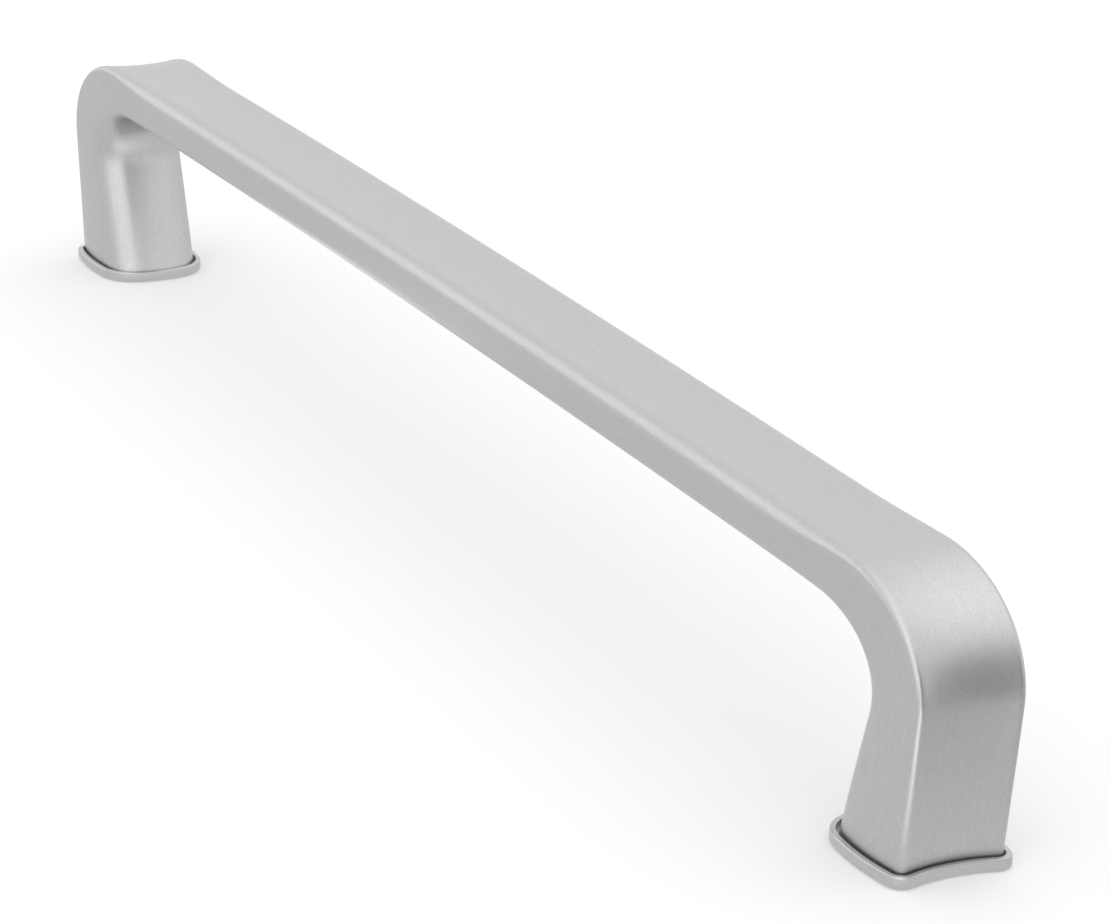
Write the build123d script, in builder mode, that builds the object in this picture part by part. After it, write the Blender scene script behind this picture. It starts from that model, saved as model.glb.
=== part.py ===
"""Door pull handle: a cast bar with two flared legs, each standing in a thin foot plate.

Millimetres. X runs along the bar, Z stands out from the door, and the door's face is Z = 0.
The origin is on the door's face, midway between the two fixing screws.
"""

import os
from math import radians, tan

from build123d import *

# Fixing to the door
screw_centres = 300.0
thread_wall_radius = 2.5
thread_depth = 14.0
thread_mouth_chamfer = 0.5
screw_clearance_radius = 3.3

# Bar, measured from the line of its two outer edges
projection = 42.3
bar_crown = 0.9
bar_thickness = 8.4
bar_width = 17.1
bar_dish = 0.7
bar_outer_radius = 2.3
bar_inner_radius = 2.2
bar_underside_crown = 0.4
bar_side_crown = 0.1

# Bends between the bar and the legs
outer_bend_run = 24.5
outer_bend_drop = 17.7
inner_bend_run = 18.7
inner_bend_drop = 13.6
bend_fullness = 0.55
bend_edge_radius = 0.8
edge_fade_length = 45.0

# Legs, measured at the foot
foot_reach = 11.6
foot_depth = 18.7
foot_width = 16.5
foot_dish = 1.4
foot_inner_crown = 1.9
foot_side_crown = 1.0
foot_outer_radius = 1.15
foot_inner_radius = 5.8
outer_lean = 7.2
inner_lean = 17.3

# Foot plates
plate_height = 1.85
recess_depth = 1.1
recess_gap = 0.45
rim_land = 0.9
rim_edge_chamfer = 0.25

# Sections along one half of the casting, and how far they run on below the foot
bar_sections = 20
bend_sections = 10
leg_sections = 7
spare_sections = 2

foot_height = plate_height - recess_depth
screw_x = screw_centres / 2
foot_outer_x = screw_x + foot_reach


def blend(start, end, share):
    """Value part of the way from start to end, easing in and out."""
    share = min(max(share, 0), 1)
    return start + (end - start) * share * share * (3 - 2 * share)


def guide_rail(bar_height, foot_x, lean, run, drop):
    """Bar, bend and leg of one guide curve, drawn in the upright plane through the screws."""
    slope = tan(radians(lean))
    middle = Vector(0, 0, bar_height + bar_crown)
    corner = Vector(foot_x + (bar_height - foot_height) * slope, 0, bar_height)
    foot = Vector(foot_x, 0, foot_height)
    down_leg = (foot - corner).normalized()
    bend_start = corner - Vector(run, 0, 0)
    bend_end = corner + down_leg * drop
    with BuildLine():
        bar = TangentArc(middle, bend_start, tangent=(1, 0, 0))
        bend = Bezier(
            bend_start,
            bend_start + (bar % 1) * run * bend_fullness,
            bend_end - down_leg * drop * bend_fullness,
            bend_end,
        )
        leg = Line(bend_end, foot)
    return bar, bend, leg


def draw_outline(sketch, width, depth, dish, inner_crown, side_crown, outer_radius, inner_radius):
    """Cross-section with its dished outer face at the top and its crowned inner face below."""
    half = width / 2
    with BuildLine() as border:
        ThreePointArc((-half, 0), (0, -dish), (half, 0))
        ThreePointArc((half, 0), (half + side_crown, -depth / 2), (half, -depth))
        ThreePointArc((half, -depth), (0, -depth - inner_crown), (-half, -depth))
        ThreePointArc((-half, -depth), (-half - side_crown, -depth / 2), (-half, 0))
    make_face(border.edges())
    fillet(sketch.vertices().group_by(Axis.Y)[-1], outer_radius)
    fillet(sketch.vertices().group_by(Axis.Y)[0], inner_radius)


def draw_foot(sketch, margin=0):
    """Outline of a leg's foot, grown by a margin all round."""
    draw_outline(
        sketch,
        foot_width,
        foot_depth,
        foot_dish,
        foot_inner_crown,
        foot_side_crown,
        foot_outer_radius,
        foot_inner_radius,
    )
    if margin:
        offset(amount=margin)


# Guide curves: the outer edges, and the inner corners
outer_rail = guide_rail(projection, foot_outer_x, outer_lean, outer_bend_run, outer_bend_drop)
inner_rail = guide_rail(
    projection - bar_thickness,
    foot_outer_x - foot_depth,
    inner_lean,
    inner_bend_run,
    inner_bend_drop,
)

# Stations along one half: a point on each rail, the share of the bend turned and of the leg run down
stations = []
bar_end = min((bar @ 1).X for bar, bend, leg in (outer_rail, inner_rail))
for step in range(bar_sections):
    x = bar_end * step / bar_sections
    points = [bar @ (x / (bar @ 1).X) for bar, bend, leg in (outer_rail, inner_rail)]
    stations.append((*points, 0, 0))
for step in range(bend_sections):
    share = step / bend_sections
    stations.append((outer_rail[1] @ share, inner_rail[1] @ share, share, 0))
for step in range(leg_sections + spare_sections + 1):
    share = step / leg_sections
    points = [leg @ 0 + (leg @ 1 - leg @ 0) * share for bar, bend, leg in (outer_rail, inner_rail)]
    stations.append((*points, 1, share))
bend_tip_x = (outer_rail[2] @ 0).X

# The bar keeps one section from its middle to where its edges start to sharpen
arch = outer_rail[0]
plain_share = (bend_tip_x - edge_fade_length) / (arch @ 1).X
plain_bar_end = Plane(arch @ plain_share, x_dir=(0, 1, 0), z_dir=arch % plain_share)
plain_bar_turn = (arch % plain_share).get_angle(Vector(1, 0, 0))


def mirrored(point):
    """The same point on the other half of the handle."""
    return Vector(-point.X, point.Y, point.Z)


other_half = [(mirrored(outer), mirrored(inner), bent, down) for outer, inner, bent, down in stations[1:]]

# The casting: one skin over all the sections from foot to foot, so that both ends run out of the same
# bar. It is cut off flat at the foot, and again where the bar is plain. Turning that last cut about the
# centre of the bar's arch makes the plain bar. The half gets its screw hole and is mirrored.
with BuildPart() as handle_bar:
    for outer, inner, bent, down in other_half[::-1] + stations:
        outward = (outer - inner).normalized()
        section_plane = Plane(outer, x_dir=(0, 1, 0), z_dir=Vector(0, 1, 0).cross(outward))
        to_foot = (bent + down) / 2
        sharpened = 1 if down else 1 - (bend_tip_x - abs(outer.X)) / edge_fade_length
        edge_radius = blend(bar_outer_radius, bend_edge_radius, sharpened)
        with BuildSketch(section_plane) as section:
            draw_outline(
                section,
                blend(bar_width, foot_width, to_foot),
                (outer - inner).length,
                blend(bar_dish, foot_dish, bent),
                blend(bar_underside_crown, foot_inner_crown, to_foot),
                blend(bar_side_crown, foot_side_crown, to_foot),
                blend(edge_radius, foot_outer_radius, down),
                blend(bar_inner_radius, foot_inner_radius, bent),
            )
    loft()
    split(bisect_by=Plane.XY.offset(foot_height), keep=Keep.TOP)
    split(bisect_by=plain_bar_end, keep=Keep.TOP)
    plain_face = faces().sort_by(Axis.X)[0]
    revolve(plain_face, axis=Axis(arch.arc_center, (0, -1, 0)), revolution_arc=plain_bar_turn)
    with Locations(Plane((screw_x, 0, foot_height), z_dir=(0, 0, -1))):
        CounterSinkHole(
            thread_wall_radius,
            thread_wall_radius + thread_mouth_chamfer,
            depth=thread_depth,
            counter_sink_angle=90,
        )
    mirror(about=Plane.YZ)
handle_bar.part.label = "handle_bar"


def foot_plate(side):
    """Shallow tray under one leg: raised rim, recess for the foot, screw hole."""
    with BuildPart() as plate:
        foot_plane = Plane((side * foot_outer_x, 0, 0), x_dir=(0, -side, 0), z_dir=(0, 0, 1))
        with BuildSketch(foot_plane) as rim:
            draw_foot(rim, recess_gap + rim_land)
        extrude(amount=plate_height)
        top = plate.faces().sort_by(Axis.Z)[-1]
        chamfer(top.edges(), rim_edge_chamfer)
        with BuildSketch(foot_plane.offset(foot_height)) as recess:
            draw_foot(recess, recess_gap)
        extrude(amount=recess_depth, mode=Mode.SUBTRACT)
        with Locations((side * screw_x, 0, foot_height)):
            Hole(screw_clearance_radius)
    return plate


left_foot_plate = foot_plate(-1)
left_foot_plate.part.label = "left_foot_plate"
right_foot_plate = foot_plate(1)
right_foot_plate.part.label = "right_foot_plate"

os.makedirs("parts", exist_ok=True)
for piece in (handle_bar, left_foot_plate, right_foot_plate):
    export_step(piece.part, f"parts/{piece.part.label}.step")
    box = piece.part.bounding_box()
    print(piece.part.label, round(piece.part.volume), box.min, box.max)
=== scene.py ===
# %% [markdown]
# # A satin nickel door pull
#
# The real pull is one zinc casting: a long dished bar that bends down at each end into a flared leg.
# Each leg stands in a thin foot plate, and a machine screw through the door pulls the two together.
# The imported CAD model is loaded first. It fixes every size and place, so this lesson only adds what
# the eye needs: a finer skin, rounded rims, the threads in the screw holes, and the brushed metal.

# %% Load the frame
import math

import bmesh
import bpy
from mathutils import Matrix, Vector


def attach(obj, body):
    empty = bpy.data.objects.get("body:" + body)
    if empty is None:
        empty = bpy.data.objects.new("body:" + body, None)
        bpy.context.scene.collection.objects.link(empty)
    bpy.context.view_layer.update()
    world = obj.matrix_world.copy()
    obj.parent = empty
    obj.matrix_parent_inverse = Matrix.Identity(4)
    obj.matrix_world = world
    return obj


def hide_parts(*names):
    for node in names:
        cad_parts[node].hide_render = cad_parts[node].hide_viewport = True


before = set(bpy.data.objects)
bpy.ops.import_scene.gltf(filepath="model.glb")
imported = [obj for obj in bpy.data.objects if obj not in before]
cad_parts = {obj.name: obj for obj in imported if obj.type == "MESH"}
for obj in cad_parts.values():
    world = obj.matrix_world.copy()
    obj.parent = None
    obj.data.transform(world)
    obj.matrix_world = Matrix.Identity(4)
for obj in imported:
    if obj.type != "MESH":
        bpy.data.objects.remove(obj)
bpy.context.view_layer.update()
print("CAD nodes:", sorted(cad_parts))

# %% [markdown]
# ## Sizes
#
# The sizes are those of the CAD source, in millimetres, and one factor turns them into Blender's metres.
# Repeating them here lets each finer piece follow the same rails and sections as the solid it stands for.
# The rim's edge is the only one of these that is the scene's own: it rounds the plates' edges, of which the
# solid has one chamfered.

# %% Sizes of the pull
MM = 0.001

SCREW_CENTRES = 300.0
THREAD_WALL_RADIUS = 2.5
THREAD_DEPTH = 14.0
SCREW_CLEARANCE_RADIUS = 3.3

PROJECTION = 42.3
BAR_CROWN = 0.9
BAR_THICKNESS = 8.4
BAR_WIDTH = 17.1
BAR_DISH = 0.7
BAR_OUTER_RADIUS = 2.3
BAR_INNER_RADIUS = 2.2
BAR_UNDERSIDE_CROWN = 0.4
BAR_SIDE_CROWN = 0.1

OUTER_BEND_RUN = 24.5
OUTER_BEND_DROP = 17.7
INNER_BEND_RUN = 18.7
INNER_BEND_DROP = 13.6
BEND_FULLNESS = 0.55
BEND_EDGE_RADIUS = 0.8
EDGE_FADE_LENGTH = 45.0

FOOT_REACH = 11.6
FOOT_DEPTH = 18.7
FOOT_WIDTH = 16.5
FOOT_DISH = 1.4
FOOT_INNER_CROWN = 1.9
FOOT_SIDE_CROWN = 1.0
FOOT_OUTER_RADIUS = 1.15
FOOT_INNER_RADIUS = 5.8
OUTER_LEAN = 7.2
INNER_LEAN = 17.3

PLATE_HEIGHT = 1.85
RECESS_DEPTH = 1.1
RECESS_GAP = 0.45
RIM_LAND = 0.9
RIM_EDGE = 0.3

FOOT_HEIGHT = PLATE_HEIGHT - RECESS_DEPTH
SCREW_X = SCREW_CENTRES / 2
FOOT_OUTER_X = SCREW_X + FOOT_REACH
print("feet at x =", SCREW_X, "mm, bar", PROJECTION, "mm off the door")

# %% [markdown]
# ## The cross-section
#
# Cut the casting anywhere and the section is the same kind of shape: a dished outer face, two slightly
# bellied sides, a crowned inner face, and four rounded corners. Each face is an arc, and each corner is
# a fillet that touches two arcs. A fillet's centre is one radius away from both, so it is where two
# circles cross. Sampling the arcs exactly keeps the highlights clean where a traced outline would ripple.

# %% Section helper
FACE_STEPS = 14
SIDE_STEPS = 12
OUTER_CORNER_STEPS = 8
INNER_CORNER_STEPS = 10


def arc_points(centre, start, end, steps):
    """Points along the short arc from start to end, without the end itself."""
    first = start - centre
    turn = first.angle_signed(end - centre)
    return [centre + Matrix.Rotation(-turn * step / steps, 2) @ first for step in range(steps)]


def circles_cross(centre_a, radius_a, centre_b, radius_b, near):
    """The point where two circles cross, of the two the one nearer to a given point."""
    gap = centre_b - centre_a
    along = (gap.length_squared + radius_a**2 - radius_b**2) / (2 * gap.length)
    aside = math.sqrt(max(radius_a**2 - along**2, 0))
    unit = gap.normalized()
    foot = centre_a + unit * along
    sideways = Vector((-unit.y, unit.x)) * aside
    return min((foot + sideways, foot - sideways), key=lambda point: (point - near).length)


def section_outline(width, depth, dish, inner_crown, side_crown, outer_radius, inner_radius, margin=0):
    """Ring of (across, outward) points: outer face at 0, inner face at minus the depth.

    A margin grows the ring outwards: every arc keeps its centre, and only its radius changes.
    """
    half = width / 2
    dish_radius = (half**2 + dish**2) / (2 * dish)
    side_radius = ((depth / 2) ** 2 + side_crown**2) / (2 * side_crown)
    crown_radius = (half**2 + inner_crown**2) / (2 * inner_crown)
    dish_centre = Vector((0, dish_radius - dish))
    side_centre = Vector((half + side_crown - side_radius, -depth / 2))
    crown_centre = Vector((0, crown_radius - depth - inner_crown))
    outer_corner = circles_cross(
        dish_centre,
        dish_radius + outer_radius,
        side_centre,
        side_radius - outer_radius,
        Vector((half, 0)),
    )
    inner_corner = circles_cross(
        crown_centre,
        crown_radius - inner_radius,
        side_centre,
        side_radius - inner_radius,
        Vector((half, -depth)),
    )
    face_end = dish_centre + (outer_corner - dish_centre).normalized() * (dish_radius - margin)
    side_top = side_centre + (outer_corner - side_centre).normalized() * (side_radius + margin)
    side_low = side_centre + (inner_corner - side_centre).normalized() * (side_radius + margin)
    crown_end = crown_centre + (inner_corner - crown_centre).normalized() * (crown_radius + margin)
    middle_out = Vector((0, margin - dish))
    middle_in = Vector((0, -depth - inner_crown - margin))
    right = arc_points(dish_centre, middle_out, face_end, FACE_STEPS)
    right += arc_points(outer_corner, face_end, side_top, OUTER_CORNER_STEPS)
    right += arc_points(side_centre, side_top, side_low, SIDE_STEPS)
    right += arc_points(inner_corner, side_low, crown_end, INNER_CORNER_STEPS)
    right += arc_points(crown_centre, crown_end, middle_in, FACE_STEPS)
    left = [Vector((-point.x, point.y)) for point in reversed(right[1:])]
    return [middle_in] + left + right


RING_POINTS = 2 * (2 * FACE_STEPS + SIDE_STEPS + OUTER_CORNER_STEPS + INNER_CORNER_STEPS)
print("points in one ring:", RING_POINTS)

# %% [markdown]
# ## The two rails
#
# A caster's pattern for such a bar starts from its side view: one line for the outer edges and one for
# the inner corners. Each is a very flat arc along the bar, a smooth bend, and a straight leg that leans.
# Every section hangs between these two rails, so the leg flares by itself where the rails part.

# %% Rails
def blend(start, end, share):
    """Value part of the way from start to end, easing in and out."""
    share = min(max(share, 0), 1)
    return start + (end - start) * share * share * (3 - 2 * share)


class Rail:
    """Side-view guide curve of one half: bar, bend and leg, as (x, z) points."""

    def __init__(self, height, foot_x, lean, run, drop):
        slope = math.tan(math.radians(lean))
        corner = Vector((foot_x + (height - FOOT_HEIGHT) * slope, height))
        self.foot = Vector((foot_x, FOOT_HEIGHT))
        down_leg = (self.foot - corner).normalized()
        self.height = height
        self.bend_start = corner - Vector((run, 0))
        self.bend_end = corner + down_leg * drop
        self.arch_radius = (self.bend_start.x**2 + BAR_CROWN**2) / (2 * BAR_CROWN)
        along_bar = Vector((self.arch_radius - BAR_CROWN, -self.bend_start.x)).normalized()
        self.bend_handles = (
            self.bend_start + along_bar * run * BEND_FULLNESS,
            self.bend_end - down_leg * drop * BEND_FULLNESS,
        )

    def bar(self, x):
        """Point of the flat arc along the bar at a distance from the middle."""
        sag = self.arch_radius - math.sqrt(self.arch_radius**2 - x**2)
        return Vector((x, self.height + BAR_CROWN - sag))

    def bend(self, share):
        """Point part of the way round the bend."""
        rest = 1 - share
        first, second = self.bend_handles
        return (
            self.bend_start * rest**3
            + first * 3 * rest**2 * share
            + second * 3 * rest * share**2
            + self.bend_end * share**3
        )

    def leg(self, share):
        """Point part of the way down the leg."""
        return self.bend_end.lerp(self.foot, share)


outer_rail = Rail(PROJECTION, FOOT_OUTER_X, OUTER_LEAN, OUTER_BEND_RUN, OUTER_BEND_DROP)
inner_rail = Rail(
    PROJECTION - BAR_THICKNESS,
    FOOT_OUTER_X - FOOT_DEPTH,
    INNER_LEAN,
    INNER_BEND_RUN,
    INNER_BEND_DROP,
)
print("bends start at x =", round(outer_rail.bend_start.x, 1), "and", round(inner_rail.bend_start.x, 1))

# %% [markdown]
# ## Stations along the casting
#
# A station is a point on each rail with its section. They are close together round the bends, where the
# shape changes, and far apart along the bar. The crisp edge of the bend softens into the bar's broad edge
# over a set length, which is what makes the highlight line thin at the leg and wide on the bar. Over the
# bar's last stretch the sections start to lean, so that they meet the first section of the bend.

# %% Stations
BAR_STEPS = 40
BEND_STEPS = 48
LEG_STEPS = 24
TILT_SHARE = 0.92


def station_ring(outer, inner, bent, down):
    """Section ring hung between a point of each rail, in metres, on the half where x is positive."""
    to_foot = (bent + down) / 2
    sharpened = 1 if down else 1 - (outer_rail.bend_end.x - outer.x) / EDGE_FADE_LENGTH
    edge_radius = blend(BAR_OUTER_RADIUS, BEND_EDGE_RADIUS, sharpened)
    outward = (outer - inner).normalized()
    outline = section_outline(
        blend(BAR_WIDTH, FOOT_WIDTH, to_foot),
        (outer - inner).length,
        blend(BAR_DISH, FOOT_DISH, bent),
        blend(BAR_UNDERSIDE_CROWN, FOOT_INNER_CROWN, to_foot),
        blend(BAR_SIDE_CROWN, FOOT_SIDE_CROWN, to_foot),
        blend(edge_radius, FOOT_OUTER_RADIUS, down),
        blend(BAR_INNER_RADIUS, FOOT_INNER_RADIUS, bent),
    )
    ring = []
    for point in outline:
        place = outer + outward * point.y
        ring.append(Vector((place.x, point.x, place.y)) * MM)
    return ring


half_rings = []
for step in range(BAR_STEPS):
    share = step / BAR_STEPS
    tilt = max(share - TILT_SHARE, 0) / (1 - TILT_SHARE)
    x_inner = inner_rail.bend_start.x * share
    x_outer = x_inner + (outer_rail.bend_start.x - inner_rail.bend_start.x) * tilt
    half_rings.append(station_ring(outer_rail.bar(x_outer), inner_rail.bar(x_inner), 0, 0))
for step in range(BEND_STEPS):
    share = step / BEND_STEPS
    half_rings.append(station_ring(outer_rail.bend(share), inner_rail.bend(share), share, 0))
for step in range(LEG_STEPS + 1):
    share = step / LEG_STEPS
    half_rings.append(station_ring(outer_rail.leg(share), inner_rail.leg(share), 1, share))
print("stations along one half:", len(half_rings))

# %% [markdown]
# ## From rings to a mesh
#
# Every piece here is a skin over rings, as a plank hull is a skin over ribs. Two rings with the same number
# of points are joined by a band of quads, and a finished mesh becomes an object whose place is in its mesh.

# %% Mesh helpers
SHARP_ANGLE = math.radians(40)


def stitch(mesh, ring_a, ring_b):
    """Quads between two rings of vertices with the same number of points."""
    count = len(ring_a)
    return [
        mesh.faces.new((ring_a[i], ring_a[(i + 1) % count], ring_b[(i + 1) % count], ring_b[i]))
        for i in range(count)
    ]


def finish_piece(mesh, name, material):
    """Turn a bmesh into a smooth-shaded object with its place in its mesh."""
    bmesh.ops.recalc_face_normals(mesh, faces=mesh.faces)
    for face in mesh.faces:
        face.smooth = True
    data = bpy.data.meshes.new(name)
    mesh.to_mesh(data)
    mesh.free()
    data.materials.append(material)
    piece = bpy.data.objects.new(name, data)
    bpy.context.scene.collection.objects.link(piece)
    print(name, "has", len(data.polygons), "faces")
    return piece


# %% [markdown]
# ## Node helpers
#
# A material is a small net of nodes. Each of these helpers adds one kind of node and gives back its
# result, so that the materials further down read as a list of steps.

# %% Material helpers
def new_material(name):
    """Material with an empty node tree, its nodes and its links."""
    material = bpy.data.materials.new(name)
    material.use_nodes = True
    nodes = material.node_tree.nodes
    nodes.clear()
    return material, nodes, material.node_tree.links


def value_range(nodes, links, source, low, high, to_low, to_high):
    """Map a range of a source value onto another range, smoothly and clamped."""
    node = nodes.new("ShaderNodeMapRange")
    node.interpolation_type = "SMOOTHSTEP"
    node.inputs["From Min"].default_value = low
    node.inputs["From Max"].default_value = high
    node.inputs["To Min"].default_value = to_low
    node.inputs["To Max"].default_value = to_high
    links.new(source, node.inputs["Value"])
    return node.outputs["Result"]


def combine(nodes, links, operation, first, second):
    """Join two values, each a socket or a plain number, by a math node."""
    node = nodes.new("ShaderNodeMath")
    node.operation = operation
    for socket, value in zip(node.inputs, (first, second)):
        if isinstance(value, bpy.types.NodeSocket):
            links.new(value, socket)
        else:
            socket.default_value = value
    return node.outputs["Value"]


def stretched_noise(nodes, links, coordinates, scale, detail):
    """Noise on coordinates squeezed by a different scale along each axis."""
    mapping = nodes.new("ShaderNodeMapping")
    mapping.inputs["Scale"].default_value = scale
    noise = nodes.new("ShaderNodeTexNoise")
    noise.inputs["Scale"].default_value = 1.0
    noise.inputs["Detail"].default_value = detail
    links.new(coordinates, mapping.inputs["Vector"])
    links.new(mapping.outputs["Vector"], noise.inputs["Vector"])
    return noise.outputs["Fac"]


# %% [markdown]
# ## Satin nickel
#
# Nickel plate over zinc, brushed along the bar with a very fine belt and then dulled, is a neutral grey
# metal. Up close it has a fine tooth, like frost, and over it a few faint streaks along the grain. Both
# come from noise: the tooth from an even one, the streaks from one squeezed across the grain and stretched
# along it. Colour, roughness and bump read the same noise, so that a mark looks the same in any light.

# %% The two finishes
NICKEL_GREY = 0.55
NICKEL_ROUGHNESS = 0.38
TONE_SPREAD = 0.065
TOOTH_SHARE = 0.75
TOOTH_SCALE = (4400.0, 4400.0, 4400.0)
CLOUD_SCALE = (90.0, 90.0, 90.0)
STREAK_SCALE = (5200.0, 160.0, 1.0)
TOOTH_DETAIL = 2.0
CLOUD_DETAIL = 3.0
STREAK_DETAIL = 3.0
MARK_RANGE = (0.35, 0.65)
CLOUD_RANGE = (0.3, 0.7)
ROUGHNESS_SPREAD = 0.02
BUMP_STRENGTH = 0.2
BUMP_HEIGHT = 0.000012


def satin_nickel(name, brushed):
    """Satin nickel. A brushed one also has streaks along V of its UV map; all sizes are in metres."""
    material, nodes, links = new_material(name)
    places = nodes.new("ShaderNodeTexCoord")
    tooth = stretched_noise(nodes, links, places.outputs["Object"], TOOTH_SCALE, TOOTH_DETAIL)
    cloud = stretched_noise(nodes, links, places.outputs["Object"], CLOUD_SCALE, CLOUD_DETAIL)
    marks = combine(nodes, links, "MULTIPLY", tooth, TOOTH_SHARE)
    if brushed:
        streaks = stretched_noise(nodes, links, places.outputs["UV"], STREAK_SCALE, STREAK_DETAIL)
        streaks = combine(nodes, links, "MULTIPLY", streaks, 1 - TOOTH_SHARE)
        marks = combine(nodes, links, "ADD", marks, streaks)
    else:
        marks = combine(nodes, links, "ADD", marks, (1 - TOOTH_SHARE) / 2)

    shader = nodes.new("ShaderNodeBsdfPrincipled")
    tone = nodes.new("ShaderNodeMix")
    tone.data_type = "RGBA"
    tone.inputs["A"].default_value = (*[NICKEL_GREY * (1 - TONE_SPREAD)] * 3, 1)
    tone.inputs["B"].default_value = (*[NICKEL_GREY * (1 + TONE_SPREAD)] * 3, 1)
    links.new(value_range(nodes, links, marks, *MARK_RANGE, 0.0, 1.0), tone.inputs["Factor"])
    links.new(tone.outputs["Result"], shader.inputs["Base Color"])

    smoother = NICKEL_ROUGHNESS - ROUGHNESS_SPREAD
    rougher = NICKEL_ROUGHNESS + ROUGHNESS_SPREAD
    dulled = value_range(nodes, links, cloud, *CLOUD_RANGE, smoother, rougher)
    scuffed = value_range(nodes, links, marks, *MARK_RANGE, ROUGHNESS_SPREAD, -ROUGHNESS_SPREAD)
    links.new(combine(nodes, links, "ADD", dulled, scuffed), shader.inputs["Roughness"])

    bump = nodes.new("ShaderNodeBump")
    bump.inputs["Strength"].default_value = BUMP_STRENGTH
    bump.inputs["Distance"].default_value = BUMP_HEIGHT
    links.new(marks, bump.inputs["Height"])
    links.new(bump.outputs["Normal"], shader.inputs["Normal"])
    shader.inputs["Metallic"].default_value = 1.0
    output = nodes.new("ShaderNodeOutputMaterial")
    links.new(shader.outputs["BSDF"], output.inputs["Surface"])
    print(name, "made")
    return material


cast_nickel = satin_nickel("cast_nickel", brushed=True)
plate_nickel = satin_nickel("plate_nickel", brushed=False)

# %% [markdown]
# ## The casting's skin
#
# The rings of both halves are joined into one closed tube of quads, and each foot is closed by a flat
# face with the tapped hole sunk into it. The hole's wall is the outer diameter of the thread: the ridges
# that a screw grips are added later. A UV map goes along with the skin: U runs around the section and V
# along the casting, both in metres, because the belt ran along the bar and the grain must follow it.

# %% Casting
THREAD_PITCH = 1.0
THREAD_HEIGHT = 0.5
THREAD_OUTER_RADIUS = THREAD_WALL_RADIUS + THREAD_HEIGHT


def along_lengths(rings):
    """Distance of each ring from the first one, measured along the middle of the outer face."""
    middle = RING_POINTS // 2
    lengths = [0.0]
    for before, after in zip(rings, rings[1:]):
        lengths.append(lengths[-1] + (after[middle] - before[middle]).length)
    return lengths


def hole_ring(outline, radius, height):
    """Ring round a screw's axis whose points lie in line with those of an outline around it."""
    axis = Vector((math.copysign(SCREW_X * MM, outline[0].x), 0, 0))
    ring = []
    for point in outline:
        aim = Vector((point.x - axis.x, point.y, 0)).normalized()
        ring.append(axis + aim * radius * MM + Vector((0, 0, height * MM)))
    return ring


def add_ring(mesh, points):
    """New vertices of a ring."""
    return [mesh.verts.new(point) for point in points]


mirrored_rings = [[Vector((-p.x, p.y, p.z)) for p in ring] for ring in half_rings[:0:-1]]
skin_rings = mirrored_rings + half_rings
lengths = along_lengths(skin_rings)
around = [0.0]
for before, after in zip(half_rings[0], half_rings[0][1:] + half_rings[0][:1]):
    around.append(around[-1] + (after - before).length)
casting = bmesh.new()
grain = casting.loops.layers.uv.new("grain")
skin_verts = [add_ring(casting, ring) for ring in skin_rings]
for row, (ring_a, ring_b) in enumerate(zip(skin_verts, skin_verts[1:])):
    for column, face in enumerate(stitch(casting, ring_a, ring_b)):
        corners = ((column, row), (column + 1, row), (column + 1, row + 1), (column, row + 1))
        for loop, (u, v) in zip(face.loops, corners):
            loop[grain].uv = (around[u], lengths[v])
for foot_points, foot_verts in ((skin_rings[0], skin_verts[0]), (skin_rings[-1], skin_verts[-1])):
    rim = add_ring(casting, hole_ring(foot_points, THREAD_OUTER_RADIUS, FOOT_HEIGHT))
    end = add_ring(casting, hole_ring(foot_points, THREAD_OUTER_RADIUS, FOOT_HEIGHT + THREAD_DEPTH))
    stitch(casting, foot_verts, rim)
    stitch(casting, rim, end)
    casting.faces.new(end)
handle_skin = finish_piece(casting, "handle_skin", cast_nickel)
handle_skin.data.set_sharp_from_angle(angle=SHARP_ANGLE)
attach(handle_skin, "root")
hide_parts("handle_bar")

# %% [markdown]
# ## Foot plates
#
# Each foot plate is a shallow tray pressed or cast in the outline of the foot: a raised rim, and a recess
# in which the leg stands with a hair of air all round. Its edges are softened by tumbling, which is what
# draws the fine bright line along the rim. Rings of the foot's outline, each with its own margin and
# height, follow the tray's profile from the screw hole over the rim and back underneath.

# %% Foot plates
EDGE_STEPS = 4


def foot_ring(side, margin, height):
    """Outline of the foot grown by a margin, at a height above the door, on one side."""
    outline = section_outline(
        FOOT_WIDTH,
        FOOT_DEPTH,
        FOOT_DISH,
        FOOT_INNER_CROWN,
        FOOT_SIDE_CROWN,
        FOOT_OUTER_RADIUS,
        FOOT_INNER_RADIUS,
        margin,
    )
    return [Vector((side * (FOOT_OUTER_X + point.y), point.x, height)) * MM for point in outline]


def rounded_edge(margin, height, radius, outward, upward):
    """Margins and heights along a quarter round from a wall to a flat face, ending at the face."""
    steps = []
    for step in range(EDGE_STEPS + 1):
        turn = math.pi / 2 * step / EDGE_STEPS
        aside = outward * radius * (1 - math.cos(turn))
        rise = upward * radius * (1 - math.sin(turn))
        steps.append((margin - aside, height - rise))
    return steps


def plate_profile():
    """Margins and heights from the recess floor over the rim to the underside."""
    wall, outside = RECESS_GAP, RECESS_GAP + RIM_LAND
    profile = [(wall, FOOT_HEIGHT)]
    profile += rounded_edge(wall, PLATE_HEIGHT, RIM_EDGE / 2, -1, 1)
    profile += rounded_edge(outside, PLATE_HEIGHT, RIM_EDGE, 1, 1)[::-1]
    profile += rounded_edge(outside, 0.0, RIM_EDGE, 1, -1)
    return profile


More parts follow.
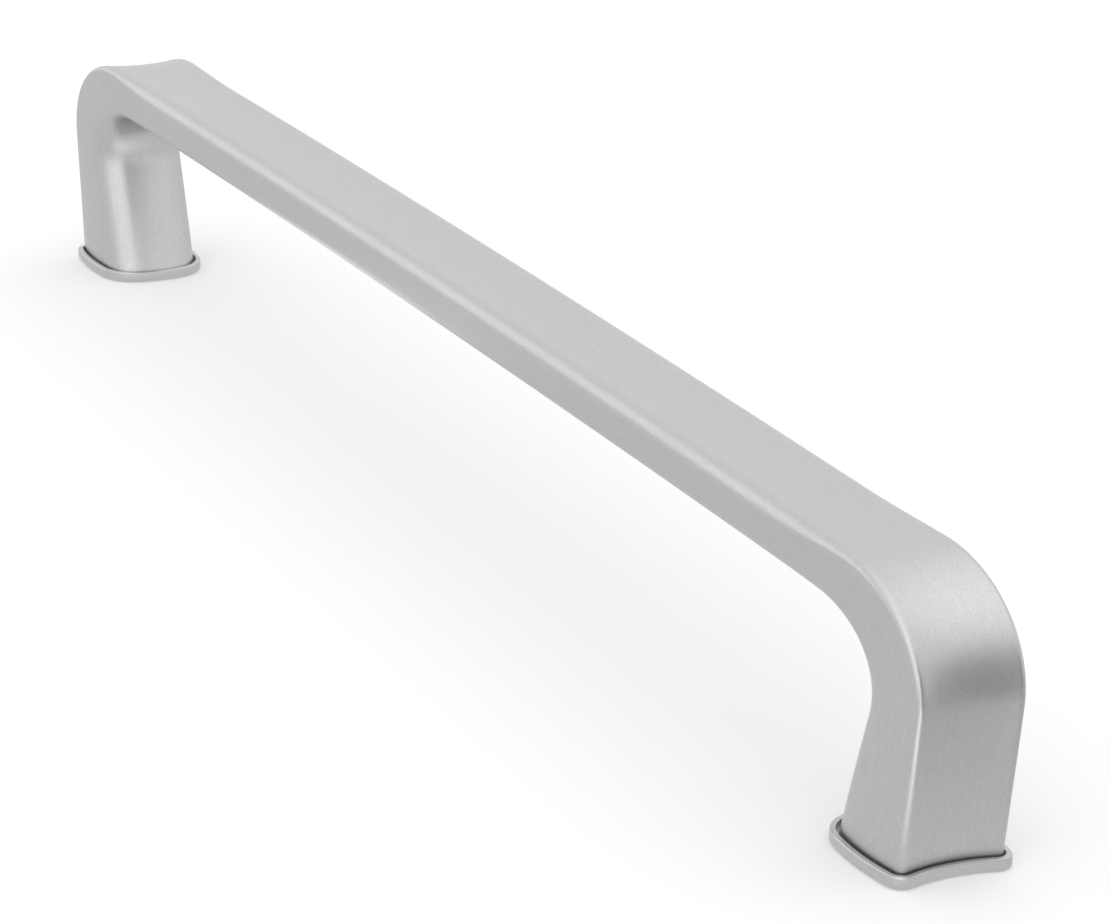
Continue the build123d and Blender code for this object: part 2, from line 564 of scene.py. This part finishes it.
for side, name in ((-1, "left"), (1, "right")):
    tray = bmesh.new()
    rings = [foot_ring(side, margin, height) for margin, height in plate_profile()]
    rings.insert(0, hole_ring(rings[0], SCREW_CLEARANCE_RADIUS, FOOT_HEIGHT))
    rings.append(hole_ring(rings[0], SCREW_CLEARANCE_RADIUS, 0.0))
    verts = [add_ring(tray, ring) for ring in rings]
    for ring_a, ring_b in zip(verts, verts[1:] + verts[:1]):
        stitch(tray, ring_a, ring_b)
    plate = finish_piece(tray, name + "_plate_skin", plate_nickel)
    plate.data.set_sharp_from_angle(angle=SHARP_ANGLE)
    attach(plate, "root")
    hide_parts(name + "_foot_plate")

# %% [markdown]
# ## Threads in the screw holes
#
# Each leg is tapped M6 for the screw that comes through the door. A thread is one ridge wound along the
# hole, so it is drawn as one: a spiral with a pitch of 1 mm carries a small triangle from end to end. The
# node tree has the pitch, radius and number of turns as inputs, and both holes use the same tree.

# %% Threads
THREAD_STEPS = 40
RIDGE_SIDES = 3


def thread_tree():
    """Geometry nodes that wind a triangular ridge along a spiral."""
    tree = bpy.data.node_groups.new("screw_thread", "GeometryNodeTree")
    for name, kind in (
        ("Turns", "NodeSocketFloat"),
        ("Pitch", "NodeSocketFloat"),
        ("Wall Radius", "NodeSocketFloat"),
        ("Ridge Height", "NodeSocketFloat"),
        ("Place", "NodeSocketVector"),
        ("Finish", "NodeSocketMaterial"),
    ):
        tree.interface.new_socket(name, in_out="INPUT", socket_type=kind)
    tree.interface.new_socket("Geometry", in_out="OUTPUT", socket_type="NodeSocketGeometry")
    nodes, links = tree.nodes, tree.links
    given = nodes.new("NodeGroupInput").outputs

    spiral = nodes.new("GeometryNodeCurveSpiral")
    spiral.inputs["Resolution"].default_value = THREAD_STEPS
    links.new(given["Turns"], spiral.inputs["Rotations"])
    links.new(given["Wall Radius"], spiral.inputs["Start Radius"])
    links.new(given["Wall Radius"], spiral.inputs["End Radius"])
    height = nodes.new("ShaderNodeMath")
    height.operation = "MULTIPLY"
    links.new(given["Turns"], height.inputs[0])
    links.new(given["Pitch"], height.inputs[1])
    links.new(height.outputs["Value"], spiral.inputs["Height"])
    upright = nodes.new("GeometryNodeSetCurveNormal")
    upright.mode = "Z_UP"
    links.new(spiral.outputs["Curve"], upright.inputs["Curve"])

    ridge = nodes.new("GeometryNodeCurvePrimitiveCircle")
    ridge.inputs["Resolution"].default_value = RIDGE_SIDES
    links.new(given["Ridge Height"], ridge.inputs["Radius"])
    wound = nodes.new("GeometryNodeCurveToMesh")
    wound.inputs["Fill Caps"].default_value = True
    links.new(upright.outputs["Curve"], wound.inputs["Curve"])
    links.new(ridge.outputs["Curve"], wound.inputs["Profile Curve"])

    placed = nodes.new("GeometryNodeTransform")
    links.new(wound.outputs["Mesh"], placed.inputs["Geometry"])
    links.new(given["Place"], placed.inputs["Translation"])
    real = nodes.new("GeometryNodeRealizeInstances")
    links.new(placed.outputs["Geometry"], real.inputs["Geometry"])
    coated = nodes.new("GeometryNodeSetMaterial")
    links.new(real.outputs["Geometry"], coated.inputs["Geometry"])
    links.new(given["Finish"], coated.inputs["Material"])
    output = nodes.new("NodeGroupOutput")
    links.new(coated.outputs["Geometry"], output.inputs["Geometry"])
    return tree


def made_by_nodes(name, tree, values):
    """Object whose mesh is what a node tree makes of the given input values."""
    maker = bpy.data.objects.new(name + "_maker", bpy.data.meshes.new(name + "_maker"))
    bpy.context.scene.collection.objects.link(maker)
    modifier = maker.modifiers.new("nodes", "NODES")
    modifier.node_group = tree
    for item in tree.interface.items_tree:
        if item.in_out == "INPUT":
            modifier[item.identifier] = values[item.name]
    maker.update_tag()
    graph = bpy.context.evaluated_depsgraph_get()
    mesh = bpy.data.meshes.new_from_object(maker.evaluated_get(graph))
    mesh.name = name
    maker.modifiers.clear()
    bpy.data.objects.remove(maker)
    made = bpy.data.objects.new(name, mesh)
    bpy.context.scene.collection.objects.link(made)
    print(name, "has", len(mesh.polygons), "faces")
    return made


threads = thread_tree()
thread_start = FOOT_HEIGHT + THREAD_PITCH
for side, name in ((-1, "left_thread"), (1, "right_thread")):
    thread = made_by_nodes(
        name,
        threads,
        {
            "Turns": (THREAD_DEPTH - 2 * THREAD_PITCH) / THREAD_PITCH,
            "Pitch": THREAD_PITCH * MM,
            "Wall Radius": THREAD_OUTER_RADIUS * MM,
            "Ridge Height": THREAD_HEIGHT * MM,
            "Place": (side * SCREW_X * MM, 0, thread_start * MM),
            "Finish": cast_nickel,
        },
    )
    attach(thread, "root")

# %% [markdown]
# ## Studio
#
# Small hardware is photographed on a white table inside a light tent. Metal shows the tent more than it
# shows its own colour, so the tent has to be right: an even level all round, brighter overhead for the
# bends, a wide panel in front that draws the bright line along each upright edge, and a small one past the
# far end for the bar's front edge. Each is a soft round patch on the world, found from the angle to its
# centre. Their sum is kept low enough that the bar's top keeps its tone from the other sides too.

# %% Light tent
TENT_LEVEL = 1.22
# Name, direction of the centre, degrees to the end of the full core and of the fade, brightness added
TENT_PATCHES = (
    ("overhead", (-0.06, 0.34, 0.94), 8, 42, 0.5),
    ("overhead front", (0.25, -0.35, 0.9), 8, 32, 0.5),
    ("front panel", (0.81, -0.5, 0.33), 26, 52, 0.55),
    ("far end", (-0.82, -0.51, 0.26), 6, 28, 0.45),
    ("side wall", (0.82, 0.44, 0.37), 12, 35, 0.1),
)


def light_tent():
    """World whose brightness is a level plus soft round patches; plain white to the lens."""
    world = bpy.data.worlds.new("light_tent")
    world.use_nodes = True
    nodes, links = world.node_tree.nodes, world.node_tree.links
    nodes.clear()
    direction = nodes.new("ShaderNodeTexCoord").outputs["Generated"]
    total = TENT_LEVEL
    for name, centre, core, rim, strength in TENT_PATCHES:
        angle = nodes.new("ShaderNodeVectorMath")
        angle.operation = "DOT_PRODUCT"
        angle.label = name
        angle.inputs[1].default_value = Vector(centre).normalized()
        links.new(direction, angle.inputs[0])
        near, far = math.cos(math.radians(core)), math.cos(math.radians(rim))
        patch = value_range(nodes, links, angle.outputs["Value"], far, near, 0.0, strength)
        total = combine(nodes, links, "ADD", patch, total)
    to_lens = nodes.new("ShaderNodeMix")
    to_lens.data_type = "FLOAT"
    to_lens.inputs["B"].default_value = 1.0
    path = nodes.new("ShaderNodeLightPath")
    links.new(path.outputs["Is Camera Ray"], to_lens.inputs["Factor"])
    links.new(total, to_lens.inputs["A"])
    background = nodes.new("ShaderNodeBackground")
    links.new(to_lens.outputs["Result"], background.inputs["Strength"])
    output = nodes.new("ShaderNodeOutputWorld")
    links.new(background.outputs["Background"], output.inputs["Surface"])
    bpy.context.scene.world = world
    print("light tent with", len(TENT_PATCHES), "patches")


light_tent()

# %% [markdown]
# ## Table
#
# The table is white to the lens and keeps the soft shadow of the feet. In the metal it shows as a plain
# bright sheet with three soft patches of painted light and shade on it, not cards: a painted bright patch
# before the near leg, which carries the edge line down to the foot, painted light under the bar, where the
# real table lies in the pull's shadow, which lights the far leg, and a painted shade patch beyond the near
# leg, which darkens the leg's outer face.

# %% Table
TABLE_GREY = 0.74
TABLE_LIFT = 0.16
TABLE_IN_METAL = 0.86
TABLE_HALF_SIZE = 6.0
TABLE_DROP = 0.0002
PAINTED_PATCH_FADE = (0.5, 1.0)
# Name, centre and half size on the table, painted brightness added in the metal (below nought, painted
# shade)
PAINTED_TABLE_PATCHES = (
    ("painted bright patch", (0.25, -0.025), (0.1, 0.03), 1.0),
    ("painted light under the bar", (-0.09, -0.015), (0.05, 0.04), 0.4),
    ("painted shade patch", (0.25, 0.06), (0.12, 0.1), -0.2),
)


def white_table():
    """Large plane just under the feet: white with a shadow to the lens, a glowing sheet with patches of
    painted light and shade in the metal.
    """
    material, nodes, links = new_material("white_table")
    place = nodes.new("ShaderNodeTexCoord").outputs["Object"]
    shown = TABLE_IN_METAL
    for name, centre, size, strength in PAINTED_TABLE_PATCHES:
        painted_patch = nodes.new("ShaderNodeMapping")
        painted_patch.label = name
        painted_patch.vector_type = "TEXTURE"
        painted_patch.inputs["Location"].default_value = (*centre, 0)
        painted_patch.inputs["Scale"].default_value = (*size, 1)
        links.new(place, painted_patch.inputs["Vector"])
        distance = nodes.new("ShaderNodeVectorMath")
        distance.operation = "LENGTH"
        links.new(painted_patch.outputs["Vector"], distance.inputs[0])
        # Each patch adds painted light, or painted shade where it is below nought, to what the metal sees
        # of the table
        tint = value_range(nodes, links, distance.outputs["Value"], *PAINTED_PATCH_FADE, strength, 0.0)
        shown = combine(nodes, links, "ADD", tint, shown)
    path = nodes.new("ShaderNodeLightPath").outputs
    in_metal = combine(nodes, links, "MAXIMUM", path["Is Glossy Ray"], path["Is Transmission Ray"])
    diffuse = nodes.new("ShaderNodeBsdfDiffuse")
    diffuse.inputs["Color"].default_value = (TABLE_GREY, TABLE_GREY, TABLE_GREY, 1)
    lift = nodes.new("ShaderNodeEmission")
    links.new(combine(nodes, links, "MULTIPLY", path["Is Camera Ray"], TABLE_LIFT), lift.inputs["Strength"])
    paper = nodes.new("ShaderNodeAddShader")
    links.new(diffuse.outputs["BSDF"], paper.inputs[0])
    links.new(lift.outputs["Emission"], paper.inputs[1])
    sheet = nodes.new("ShaderNodeEmission")
    links.new(shown, sheet.inputs["Strength"])
    either = nodes.new("ShaderNodeMixShader")
    links.new(in_metal, either.inputs["Fac"])
    links.new(paper.outputs["Shader"], either.inputs[1])
    links.new(sheet.outputs["Emission"], either.inputs[2])
    output = nodes.new("ShaderNodeOutputMaterial")
    links.new(either.outputs["Shader"], output.inputs["Surface"])
    mesh = bmesh.new()
    bmesh.ops.create_grid(mesh, x_segments=1, y_segments=1, size=TABLE_HALF_SIZE)
    bmesh.ops.translate(mesh, verts=mesh.verts, vec=(0, 0, -TABLE_DROP))
    finish_piece(mesh, "table", material)


white_table()

# %% [markdown]
# ## Painted shade flag
#
# Photographers hold a dark card, called a flag, beside pale metal to draw a dark shape into it, because in
# an even tent a form loses its edges. This one is no card but a glowing sheet of painted shade: it stands
# just off the near end of the pull and paints a reflection of shade, the dark patch high on the near leg's
# outer face. It grows paler towards its top, which gives the patch its soft upper edge. Only the metal sees
# it, so it throws no shadow on the table.

# %% Painted shade flag
FLAG_X = 0.205
# Across the pull and up
FLAG_CORNERS = ((-0.007, 0.012), (0.048, 0.012), (0.048, 0.062), (-0.007, 0.105))
FLAG_FADE = (0.04, 0.105)
# Glow of the painted shade sheet at its foot and at its top
FLAG_DARK = 0.42
FLAG_PALE = 1.2


def painted_shade_flag():
    """Glowing sheet of painted shade beside the near leg, paler towards its top, seen only in the metal."""
    material, nodes, links = new_material("painted_shade_flag")
    place = nodes.new("ShaderNodeTexCoord").outputs["Object"]
    height = nodes.new("ShaderNodeSeparateXYZ")
    links.new(place, height.inputs["Vector"])
    # The painted shade: the sheet glows dim at its foot and paler towards its top
    shade = value_range(nodes, links, height.outputs["Z"], *FLAG_FADE, FLAG_DARK, FLAG_PALE)
    glow = nodes.new("ShaderNodeEmission")
    links.new(shade, glow.inputs["Strength"])
    output = nodes.new("ShaderNodeOutputMaterial")
    links.new(glow.outputs["Emission"], output.inputs["Surface"])
    mesh = bmesh.new()
    mesh.faces.new([mesh.verts.new((FLAG_X, y, z)) for y, z in FLAG_CORNERS])
    flag = finish_piece(mesh, "painted_shade_flag", material)
    flag.visible_camera = False
    flag.visible_diffuse = False
    flag.visible_shadow = False


painted_shade_flag()

# %% [markdown]
# ## Camera
#
# The camera stands where the photograph was taken from: a long lens, about 20 degrees above the bar and
# well round towards one end, with a slight roll.

# %% Camera
CAMERA_PLACE = Vector((0.6201, -0.2852, 0.2481))
CAMERA_AIM = Vector((0.0379, -0.0011, 0.02))
CAMERA_ROLL = 0.95
SENSOR_WIDTH = 36.0
LENS = 140.63
camera_data = bpy.data.cameras.new("camera")
camera_data.sensor_width = SENSOR_WIDTH
camera_data.lens = LENS
camera = bpy.data.objects.new("camera", camera_data)
level_view = (CAMERA_AIM - CAMERA_PLACE).to_track_quat("-Z", "Y").to_matrix()
camera.matrix_world = Matrix.Translation(CAMERA_PLACE) @ (
    level_view @ Matrix.Rotation(math.radians(CAMERA_ROLL), 3, "Z")
).to_4x4()
bpy.context.scene.collection.objects.link(camera)
bpy.context.scene.camera = camera
bpy.context.scene.view_settings.view_transform = "Standard"
print("camera lens", camera_data.lens, "mm")
